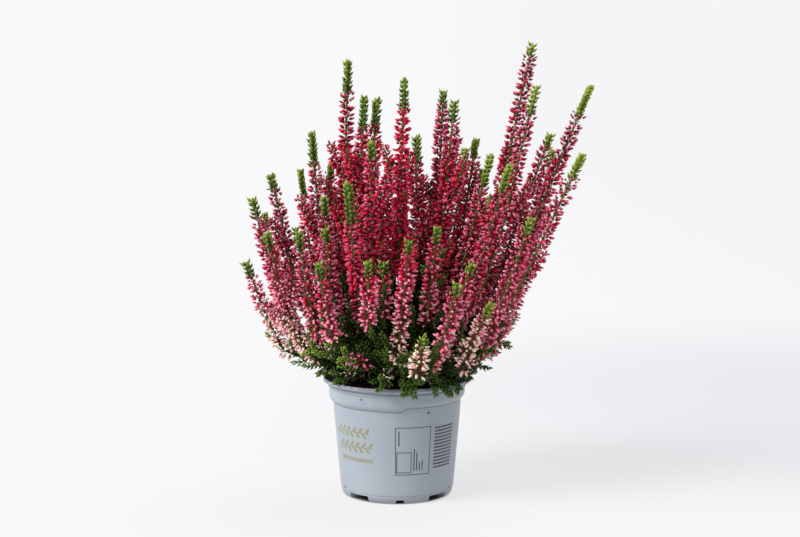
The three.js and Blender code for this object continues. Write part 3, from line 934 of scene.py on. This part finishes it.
# the wood's colours, and how much darker it gets low in the plant
barkTones = {"wood": [(0.3, (84, 74, 42)), (0.55, (118, 106, 62)), (0.75, (144, 132, 84))],
             "lowTint": (120, 142, 96), "lowUpTo": 115, "plainFrom": 190}
greens = {
    "scaleLeaf": dict(stops=[(0, (142, 158, 64)), (0.2, (106, 128, 48)), (0.45, (72, 97, 38)),
                             (0.75, (40, 70, 20)), (1, (8, 21, 6))],
                      tip=(132, 152, 64), tipShare=0.3, root=(38, 48, 18), rootReach=0.4, gloss=0.55),
    "oliveScale": dict(stops=[(0, (122, 108, 60)), (0.5, (94, 82, 44)), (1, (62, 54, 28))],
                       tip=(116, 128, 56), tipShare=0.4, root=(60, 50, 28), rootReach=0.4, gloss=0.6),
}
# painted shade and light on the foliage: darker low in the middle, lighter on the right and low on the left
paintedLeafShading = {"middle": (80, 54), "low": (200, 145), "deepest": 1.25,
          "litAcross": 0.4, "litOver": 48, "lit": 0.6, "right": (45, 75), "rightPaintedLight": 0.25,
          "leftPaintedLight": {"most": 0.36, "side": (-32, -52), "height": (160, 140)}}


def clearOfRim(path):
    # twigs near the rim pass over it, and further out they may hang beside it
    out = np.hypot(path[:, 0], path[:, 1]) / mm
    level = np.where(out < rim["inside"], 0, np.where(out < rim["outside"], rim["clear"], rim["lowest"]))
    path[:, 2] = np.maximum(path[:, 2], level * mm)
    return path


def twigFrom(line, length, turn, lean, reach, rise):
    # a side twig that leaves a stem and bends upright
    start, way = placesOn(line, np.array([length]))
    side = outwards(way, np.array([turn]))
    first = unit(way * math.cos(lean) + side * math.sin(lean))[0]
    share = np.linspace(0, 1, 5)[:, None]
    path = start + reach * mm * (first * share + np.array([0, 0, rise]) * share ** 2)
    return lineThrough(clearOfRim(path), 4 * mm)


def sprigLines():
    # the leafy low shoots: their tips are read from the plants, at the heights they arch to
    found = []
    for i in range(sprigs["count"]):
        turn = i * 2 * math.pi / sprigs["count"]
        arch = sprigs["arch"][i % 2]
        ring = sprigs["rings"][i % 2][i % 3]
        place = np.array([ring * math.cos(turn), ring * math.sin(turn)]) * mm
        plant = max(trunks, key=lambda name: float(trunks[name][:2] @ place))
        height = (sprigs["fork"] + arch["lift"] * (2 - arch["droop"])) * mm
        level = plants[plant][np.abs(plants[plant][:, 2] - height) < 0.02 * mm]
        tip = min(level, key=lambda spot: np.linalg.norm(spot[:2] - place))[:2] if len(level) else place
        share = np.linspace(0, 1, 6)[:, None]
        flat = trunks[plant][:2] + share * (tip - trunks[plant][:2])
        lift = sprigs["fork"] + arch["lift"] * share * (2 - arch["droop"] * share)
        found.append({"plant": plant, "line": lineThrough(np.hstack([flat, lift * mm]), 3 * mm)})
    return found


def growTwigs(line, first, last, spec):
    grown = []
    for k in range(spec["twigs"]):
        share = (k + draw.random()) / spec["twigs"]
        turn = k * 2.4 + draw.uniform(-0.5, 0.5)
        reach = draw.uniform(*spec["twigLength"]) * (1 - spec.get("narrower", 0) * share)
        lean = spec["lean"] * draw.uniform(0.8, 1.2)
        rise = spec["rise"] * draw.uniform(0.6, 1.3)
        grown.append(twigFrom(line, between((first, last), share), turn, lean, reach, rise))
    return grown


def tubes(name, paths, roundness, every):
    # round tapering stems as one curve object, turned into a mesh
    deselectAll()
    curve = bpy.data.curves.new(name, "CURVE")
    curve.dimensions = "3D"
    curve.bevel_depth = mm
    curve.bevel_resolution = roundness
    curve.use_fill_caps = True
    for path, radii in paths:
        kept = np.unique(np.append(np.arange(0, len(path), every), len(path) - 1))
        radii = np.broadcast_to(radii, len(path))[kept]
        path = path[kept]
        spline = curve.splines.new("POLY")
        spline.points.add(len(path) - 1)
        spline.points.foreach_set("co", np.column_stack([path, np.ones(len(path))]).ravel())
        spline.points.foreach_set("radius", radii.astype(float))
    piece = bpy.data.objects.new(name, curve)
    bpy.context.scene.collection.objects.link(piece)
    pick(piece)
    bpy.ops.object.convert(target="MESH")
    piece = bpy.context.object
    faceOut(piece)
    smoothBelow(piece, 60)
    return piece


def barkFinish():
    finish, tree, shader = newFinish("woodyStem", {"Roughness": 0.75, "Specular IOR Level": 0.2})
    grain = objectNoise(tree, 500, 4)
    wood = ramp(tree, grain, painted(barkTones["wood"]))
    # the wood is darker low in the plant
    height = axisOf(tree, objectPlace(tree), "Z")
    upward = spread(tree, height, barkTones["lowUpTo"] * mm, barkTones["plainFrom"] * mm, 0, 1)
    shade = ramp(tree, upward, [(0, paint(*barkTones["lowTint"])), (1, 1)])
    feed(tree, shader, {"Base Color": mixed(tree, "MULTIPLY", 1, wood, shade)})
    addBump(tree, shader, grain, 0.5, 0.0004)
    return finish


def leavesAt(spots, ways, sideways, spec, lean, fullness, tone):
    sizes = np.array([spec["width"], spec["thick"], spec["length"]]) * mm * fullness[:, None]
    return spots + sideways * spec["stem"] * mm, leaning(ways, sideways, lean), sizes, np.clip(tone, 0, 1)


def pairedLeaves(line, first, last, spec, tones):
    # scale leaves in crossed pairs from one length to another
    count = max(2, int((last - first) / (spec["pitch"] * mm)))
    share = np.repeat((np.arange(count) + 0.5) / count, 2)
    turns = np.arange(2 * count) // 2 * (math.pi / 2) + np.arange(2 * count) % 2 * math.pi
    turns = turns + spec.get("turn", 0) + draw.normal(0, 0.16, len(turns))
    spots, ways = placesOn(line, between((first, last), share))
    lean = np.radians(between(spec["lean"], share ** 3)) + draw.normal(0, 0.09, len(share))
    fullness = (1 - spec["shrink"] * share ** 3) * draw.uniform(0.85, 1.12, len(share))
    tone = between(tones, share) + draw.normal(0, 0.07, len(share))
    return leavesAt(spots, ways, outwards(ways, turns), spec, lean, fullness, tone)


def spiralLeaves(line, first, last, spec, tones):
    # single scale leaves that wind round a stem
    count = max(2, int((last - first) / (spec["pitch"] * mm)))
    share = (np.arange(count) + 0.5) / count
    spots, ways = placesOn(line, between((first, last), share))
    turns = np.arange(count) * 2.4 + draw.normal(0, 0.3, count)
    lean = np.radians(draw.normal(spec["lean"][0], 9, count))
    fullness = draw.uniform(0.75, 1.2, count)
    tone = between(tones, share) + draw.normal(0, 0.08, count)
    return leavesAt(spots, ways, outwards(ways, turns), spec, lean, fullness, tone)


def tapering(path, foot, tip):
    return path, np.linspace(foot, tip, len(path))


def sideTwigs(line, spec, first, last, tones, paths, leaves):
    # short leafy twigs along a stem
    kind = leafKinds[spec.get("kind", "twig")]
    for twig in growTwigs(line, first, last, spec):
        paths.append(tapering(twig["path"], *stems["twig"]))
        leaves.append(pairedLeaves(twig, 0.5 * mm, twig["reach"][-1], kind, tones))


def leafyBranch(line, spec, tones, paths, twigPaths, leaves):
    # a small branch with leaves of its own and leafy twigs
    own, side = spec["starts"]
    reach = line["reach"][-1]
    paths.append(tapering(line["path"], *spec["stem"]))
    leaves.append(pairedLeaves(line, own * mm, reach, leafKinds[spec["leaf"]], tones))
    sideTwigs(line, spec, side * mm, reach - spec["end"] * mm, tones, twigPaths, leaves)


def hangSpray(spray, paths, leaves):
    # a sprig that lies on the lip and lets its plump twigs hang over it
    line = lineThrough(np.array([spray["from"], spray["to"]]) * mm, 3 * mm)
    paths.append(tapering(line["path"], *hanging["stem"]))
    for k in range(spray["fingers"]):
        start = placesOn(line, np.array([line["reach"][-1] * (k + 0.6) / spray["fingers"]]))[0][0] / mm
        across = start[0] * hanging["fan"] + draw.uniform(*hanging["stray"])
        over = [start[0] + across * 0.6, -math.sqrt(hanging["out"] ** 2 - start[0] ** 2), hanging["over"]]
        further, drop = draw.uniform(*hanging["further"]), draw.uniform(*hanging["drop"])
        end = over + np.array([across * 0.8, -further, -drop])
        middle = (start + over) / 2 + [0, 0, hanging["arch"]]
        finger = lineThrough(np.array([start, middle, over, end]) * mm, 1.5 * mm)
        paths.append(tapering(finger["path"], *hanging["finger"]))
        leaves.append(pairedLeaves(finger, 1 * mm, finger["reach"][-1], leafKinds["finger"], hanging["tone"]))


def withPaintedShadeAndLight(spots, tones):
    # painted shade and light: leaves low in the middle are painted darker, less so where they face the light,
    # and leaves on the right and sprigs low on the left are painted lighter
    x, y, z = spots.T / mm
    depth = fade(np.hypot(x, y), *paintedLeafShading["middle"]) * fade(z, *paintedLeafShading["low"])
    lit = np.clip((x * paintedLeafShading["litAcross"] - y) / paintedLeafShading["litOver"] - paintedLeafShading["lit"], 0, paintedLeafShading["lit"])
    right = paintedLeafShading["rightPaintedLight"] * fade(x, *paintedLeafShading["right"])
    left = towards(x, z, paintedLeafShading["leftPaintedLight"])
    return np.clip(tones - right - left + depth * (1 - lit) * (1 - left) * (paintedLeafShading["deepest"] - tones), 0, 1)


def frondLine(trunk, k):
    # a sterile shoot from the trunk's fork that fills the middle of the plant
    turn = k * 2.39996 + draw.uniform(-0.3, 0.3)
    out = between(fronds["reach"], math.sqrt((k + 0.5) / fronds["perPlant"])) * mm
    rise = draw.uniform(*fronds["length"]) * mm * (1 - fronds["lower"] * out / (fronds["reach"][1] * mm))
    if k % 2:
        rise += fronds["taller"] * mm * draw.random()
    start = np.array([*trunk[:2], draw.uniform(*fronds["foot"]) * mm])
    share = np.array([0, 0.3, 0.65, 1])[:, None]
    flat = np.array([math.cos(turn), math.sin(turn), 0]) * out
    path = start + flat * share ** 0.75 + np.array([0, 0, rise]) * share ** 1.15
    return lineThrough(clearOfRim(path), 4 * mm)


def shareSprigs(low):
    # the few buds on a low sprig belong to the nearest flowering shoot of its plant
    for k, sprig in enumerate(low):
        sprig["paler"] = sprigs["redder"] if k == sprigs["red"] else sprigs["paler"]
        own = [shoot for shoot in shoots if shoot["plant"] == sprig["plant"]]
        end = sprig["line"]["path"][-1]
        nearest = min(own, key=lambda shoot: np.linalg.norm(shoot["spots"][0] - end))
        nearest["sprigs"].append(sprig)


def dressShoot(shoot, paths, twigPaths, broad, fine, upper):
    # a flowering shoot's stem with its leafy tip, the leaves among and under its flowers, and low twigs
    line, first, last = shoot["line"], shoot["start"], shoot["end"]
    whole = line["reach"][-1]
    radii = np.interp(line["reach"], [0, first, last, whole],
                      [stems["foot"], stems["spike"] * 1.2, stems["spike"], stems["tip"]])
    kept = line["reach"] < whole - leafSpans["stemShort"] * mm
    paths.append((line["path"][kept], radii[kept]))
    plump = draw.uniform(*leafSpans["plump"])
    tip = dict(leafKinds["tip"], turn=draw.uniform(0, 1.5), length=leafKinds["tip"]["length"] * plump)
    core, spike, bare = (leafKinds[kind] for kind in ("core", "spike", "bare"))
    for part, kind in [("tip", tip), ("core", core)]:
        under, short = leafSpans[part]
        broad.append(pairedLeaves(line, last - under * mm, whole - short * mm, kind, leafTones[part]))
    upper.append(spiralLeaves(line, first, last, spike, leafTones["spike"]))
    fine.append(spiralLeaves(line, leafSpans["bareFrom"] * mm, first, bare, leafTones["bare"]))
    sideTwigs(line, shrub, shrub["from"] * mm, first + shrub["above"] * mm, leafTones["low"], twigPaths, fine)
    own, short = leafSpans["side"]
    for side in shoot["sides"]:
        paths.append(tapering(side["path"][:-1], *stems["side"]))
        reach = side["reach"][-1] - short * mm
        upper.append(spiralLeaves(side, own * mm, reach, spike, leafTones["side"]))


def makePlants(low):
    leaf, needle = makeLeaf(leafShapes["leaf"]), makeLeaf(leafShapes["needle"])
    finishes = [toneFinish(name, spec) for name, spec in greens.items()]
    bark = barkFinish()
    for number, plant in enumerate(plantNames, start=1):
        broad, fine, upper, bright, paths, twigPaths = [], [], [], [], [], []
        trunk = trunks[plant]
        foot = np.array([trunk, [*trunk[:2], soil["top"] * mm], [*trunk[:2], stems["trunkHeight"] * mm]])
        paths.append((foot, [stems["trunkFoot"], stems["trunkFoot"] * 0.85, stems["trunkTop"]]))
        for shoot in (one for one in shoots if one["plant"] == plant):
            dressShoot(shoot, paths, twigPaths, broad, fine, upper)
        for k in range(fronds["perPlant"]):
            leafyBranch(frondLine(trunk, k), fronds, leafTones["low"], paths, twigPaths, fine)
        for sprig in (one for one in low if one["plant"] == plant):
            leafyBranch(sprig["line"], sprigs, leafTones["sprig"], paths, twigPaths, broad)
        if plant == plantNames[-1]:
            for spray in sprays:
                hangSpray(spray, twigPaths, broad)
            # short plump shoots that stand between the spikes
            for fan in fans:
                line = lineThrough(np.array([fan["from"], fan["to"]]) * mm, 3 * mm)
                leafyBranch(line, fanStem, fan["tone"], twigPaths, twigPaths, bright)
        wood = tubes(f"woodyStems_{number}", paths, 1, 2)
        twigWood = tubes(f"twigWood_{number}", twigPaths, 0, 4)
        coat(wood, bark)
        coat(twigWood, bark)
        sets = []
        grown = [(leaf, broad, 0), (needle, fine, 0), (needle, upper, 1), (leaf, bright, 0)]
        for pattern, kinds, finish in grown:
            if kinds:
                spots, frames, sizes, tones = (np.concatenate(part) for part in zip(*kinds))
                # all leaves but the fans' get the painted shade and light
                tones = tones if kinds is bright else withPaintedShadeAndLight(spots, tones)
                sets.append((scatter(pattern, spots, frames, sizes), tones, finish))
        foliage = meshOf(f"foliage_{number}", sets, finishes)
        for piece in (wood, twigWood, foliage):
            finishPiece(piece, [plant])
        print(plant, "foliage", len(foliage.data.polygons), "stems", len(wood.data.polygons),
              "twigs", len(twigWood.data.polygons))


# Flower spikes

flowers = {
    "whorls": (7, 5), "pitch": 2.12, "length": 5.25, "width": 2.6, "sizes": (0.78, 1.16), "stalk": 0.55,
    "lean": (94, 64), "leanSpread": 12, "reach": (9.2, 7.2), "sparseReach": (10.4, 8.2), "sprigWhorl": 3,
    "wave": (0.9, 0.5), "stray": 0.7, "turnSpread": 0.3, "swirl": 0.06, "inward": (1.03, 0.4), "root": 1.6,
    "youngStretch": 13, "youngSize": (0.62, 1), "youngLean": 14, "youngReach": (0.84, 1),
    "longOver": 60, "top": 52, "thinner": 0.22, "foot": 48, "footThinner": (0.1, 0.42),
    "paleBelow": 110, "ripeOver": 105, "shortTip": (240, 170), "shortPaler": 0.36, "paleSmaller": 0.1,
    "crimsonFrom": 0.48, "roseFrom": 0.1, "tone": (0.58, 0.3),
    "leftPaler": {"most": 0.16, "side": (-45, -75), "height": (195, 135)},
    # painted shade on the buds low on the right and high on the right
    "lowRightShade": {"most": 0.4, "side": (40, 80), "height": (245, 185)},
    "highRightShade": {"most": 0.3, "side": (25, 75), "height": (220, 280)},
    "dusky": {"least": 0.2, "outer": 0.35, "outerAt": 80, "left": 0.15, "leftOf": -40, "top": 0.45,
              "topAt": 25, "limits": (0.05, 0.92)},
    "paler": {"spike_36": -0.2, "spike_37": -0.2, "spike_38": -0.2, "spike_39": -0.12, "spike_41": 0.12,
              "spike_44": -0.36},
    "sparse": {"spike_20": 4, "spike_47": 4, "spike_21": 5, "spike_02": 5},
}
sideSpikes = {"least": 88, "most": 3, "each": 48, "length": (24, 40), "lean": 0.5, "reach": (6.6, 5.6),
              "bare": 3, "middle": 56, "extra": 4, "span": (-0.08, 0.62),
              "behind": {"depth": (60, 95), "width": 45, "extra": 2}}
petals = {
    "crimsonBud": dict(stops=[(0, (150, 0, 34)), (0.5, (198, 8, 54)), (1, (222, 30, 82))],
                       tip=(238, 96, 126), tipShare=0.44, root=(66, 4, 20), rootReach=0.45, gloss=0.42),
    "duskyBud": dict(stops=[(0, (118, 12, 44)), (0.5, (174, 36, 74)), (1, (204, 84, 110))],
                     tip=(240, 156, 174), tipShare=0.66, root=(62, 12, 28), rootReach=0.5, gloss=0.42),
    "roseBud": dict(stops=[(0, (176, 12, 60)), (0.5, (206, 44, 92)), (1, (226, 100, 132))],
                    tip=(252, 200, 210), tipShare=0.76, root=(104, 12, 38), rootReach=0.45, gloss=0.42),
    "paleBud": dict(stops=[(0, (214, 96, 120)), (0.5, (230, 156, 158)), (1, (246, 222, 200))],
                    tip=(252, 236, 220), tipShare=0.8, root=(150, 76, 72), rootReach=0.32, gloss=0.45),
    "budStalk": dict(stops=[(0, (88, 88, 42)), (1, (130, 92, 62))],
                     tip=(140, 40, 50), tipShare=0.4, root=(76, 72, 36), rootReach=0.4, gloss=0.6),
}


def growSides():
    # the longest spikes carry a few short flowering side shoots on their lower half
    behind = sideSpikes["behind"]
    near, far = behind["depth"]
    for shoot in shoots:
        stretch = (shoot["end"] - shoot["start"]) / mm
        count = 0
        if stretch >= sideSpikes["least"]:
            count = min(sideSpikes["most"], int(stretch / sideSpikes["each"]))
        x, y = shoot["tip"][:2] / mm
        if count and np.hypot(x, y) < sideSpikes["middle"]:
            count += sideSpikes["extra"]
        if near < y < far and abs(x) < behind["width"]:
            count += behind["extra"]
        for k in range(count):
            share = between(sideSpikes["span"], (k + draw.random()) / count)
            length = shoot["start"] + stretch * mm * share
            reach = draw.uniform(*sideSpikes["length"])
            turn = k * 2.1 + draw.uniform(0, 1.2) + 3 * stretch
            shoot["sides"].append(twigFrom(shoot["line"], length, turn, sideSpikes["lean"], reach, 0.25))


def budsAlong(line, first, last, reaches, around, number, shift):
    # whorls of buds round a stem: their roots, frames, sizes and ripeness, with a stalk for each
    stretch = last - first
    whorls = max(3, int(stretch / mm / flowers["pitch"]))
    count = whorls * around
    level = np.arange(count) // around
    share = (level + 0.5) / whorls
    often, swing = flowers["wave"]
    wave = np.sin(share * stretch / mm * often + number) * swing
    lengths = first + stretch * share + (wave + draw.normal(0, flowers["stray"], count)) * mm
    spots, ways = placesOn(line, np.clip(lengths, 0, last + 2 * mm))
    turns = (np.arange(count) % around + 0.5 * (level % 2)) * 2 * math.pi / around
    turns = turns + number + flowers["swirl"] * level + draw.normal(0, flowers["turnSpread"], count)
    sideways = outwards(ways, turns)
    young = fade(last - lengths, 0, flowers["youngStretch"] * mm)
    size = between(flowers["youngSize"], young) * draw.uniform(*flowers["sizes"], count)
    lean = between(flowers["lean"], share) - flowers["youngLean"] * (1 - young)
    lean = np.radians(lean + draw.normal(0, flowers["leanSpread"], count))
    reach = between(reaches, share) * mm * between(flowers["youngReach"], young)
    most, less = flowers["inward"]
    reach = reach * (most - less * draw.random(count) ** 1.6)
    length = flowers["length"] * mm * size
    frames = leaning(ways, sideways, lean)
    root = np.maximum(reach - length * np.sin(lean), flowers["root"] * mm)
    starts = spots + sideways * root[:, None] + ways * (root / np.tan(np.maximum(lean, 0.8)) * 0.5)[:, None]
    x, _, z = starts.T / mm
    ripe = (z - flowers["paleBelow"]) / flowers["ripeOver"] - shift - towards(x, z, flowers["leftPaler"])
    smaller = 1 - flowers["paleSmaller"] * (ripe < 0.15)
    wide = size * flowers["width"] * mm * smaller
    sizes = np.stack([wide, wide, length * smaller], axis=1)
    # each stalk goes from inside the stem to a little inside its bud
    feet = spots - ways * 0.6 * mm
    aim = starts + frames[:, :, 2] * 0.4 * mm - feet
    far = np.linalg.norm(aim, axis=1)
    way = aim / far[:, None]
    stalkSizes = np.stack([np.full(count, flowers["stalk"] * mm)] * 2 + [far], axis=1)
    stalkFrames = leaning(way, outwards(way, np.zeros(count)), 0.0)
    # on a long spike the buds stand further apart at the top, and on the right at the foot
    long = stretch > flowers["longOver"] * mm
    top = fade(last - lengths, flowers["top"] * mm, 0) * long
    foot = fade(lengths - first, flowers["foot"] * mm, 0) * long
    loss = between(flowers["footThinner"], fade(spots[:, 0], 0, 60 * mm))
    kept = draw.random(count) > flowers["thinner"] * top + loss * foot
    return {"buds": (starts[kept], frames[kept], sizes[kept]), "top": top[kept],
            "ripe": (ripe + draw.normal(0, 0.08, count))[kept],
            "stalks": (feet[kept], stalkFrames[kept], stalkSizes[kept])}


def growBuds(number, shoot):
    # the buds of a shoot: on its spike, on its side shoots and on the low sprigs near it
    name, across = shoot["name"], abs(shoot["tip"][0] / mm)
    short = fade(shoot["tip"][2] / mm, *flowers["shortTip"])
    shift = flowers["shortPaler"] * short + flowers["paler"].get(name, 0) + draw.normal(0, 0.05)
    around = round(between(flowers["whorls"], min(across / 90 + 0.6 * short, 1))) - (short > 0.7)
    around = flowers["sparse"].get(name, around)
    reach = flowers["sparseReach"] if around == 4 else flowers["reach"]
    grown = [budsAlong(shoot["line"], shoot["start"], shoot["end"], reach, around, number, shift)]
    reach, few = sideSpikes["reach"], flowers["whorls"][1]
    for line in shoot["sides"]:
        last = line["reach"][-1] - sideSpikes["bare"] * mm
        grown.append(budsAlong(line, 6 * mm, last, reach, few, number + 0.5, shift))
    for sprig in shoot["sprigs"]:
        line = sprig["line"]
        whole = line["reach"][-1]
        grown.append(budsAlong(line, 0.5 * whole, whole - 9 * mm, reach, flowers["sprigWhorl"], number,
                               sprig["paler"]))
    return grown


def makeSpikes():
    bud, stalk = makeBud(), makeStalk()
    finishes = [toneFinish(name, spec) for name, spec in petals.items()]
    dusk = flowers["dusky"]
    total = 0
    for number, shoot in enumerate(shoots, start=1):
        grown = growBuds(number, shoot)
        starts, frames, sizes = (np.concatenate(part) for part in zip(*(one["buds"] for one in grown)))
        ripe, top = (np.concatenate([one[key] for one in grown]) for key in ("ripe", "top"))
        count = len(ripe)
        across = shoot["tip"][0] / mm
        x, _, z = starts.T / mm
        # the outer spikes and the tops have more dusky buds among the crimson ones, and the low right more
        # again as painted shade
        dull = dusk["least"] + dusk["outer"] * min(abs(across) / dusk["outerAt"], 1) + draw.normal(0, 0.12)
        dull = dull + dusk["left"] * (across < dusk["leftOf"]) + towards(x, z, flowers["lowRightShade"])
        dull = dull + dusk["top"] * top * min(abs(across) / dusk["topAt"], 1)
        dusky = draw.random(count) < np.clip(dull, *dusk["limits"])
        kind = np.where(ripe > flowers["crimsonFrom"], np.where(dusky, 1, 0),
                        np.where(ripe > flowers["roseFrom"], 2, 3))
        tone = draw.normal(*flowers["tone"], count) + 0.5 * np.clip(-ripe, 0, 1)
        # painted shade: buds high on the right are darker
        tone = np.clip(tone - towards(x, z, flowers["highRightShade"]), 0, 1)
        sets = []
        for index in range(4):
            chosen = kind == index
            if chosen.any():
                copies = scatter(bud, starts[chosen], frames[chosen], sizes[chosen])
                sets.append((copies, tone[chosen], index))
        stalks = (np.concatenate(part) for part in zip(*(one["stalks"] for one in grown)))
        sets.append((scatter(stalk, *stalks), draw.random(count), 4))
        spike = meshOf(f"flowers_{number:02d}", sets, finishes)
        finishPiece(spike, [shoot["name"]])
        total += len(spike.data.polygons)
    print("flower spikes", len(shoots), "triangles", total)


print("reading the frame")
shoots, trunks, plants = readShoots()
makeStage()
makePot()
makeMarks()
makeDirt()
makeSoil()
growSides()
lowSprigs = sprigLines()
shareSprigs(lowSprigs)
makePlants(lowSprigs)
makeSpikes()
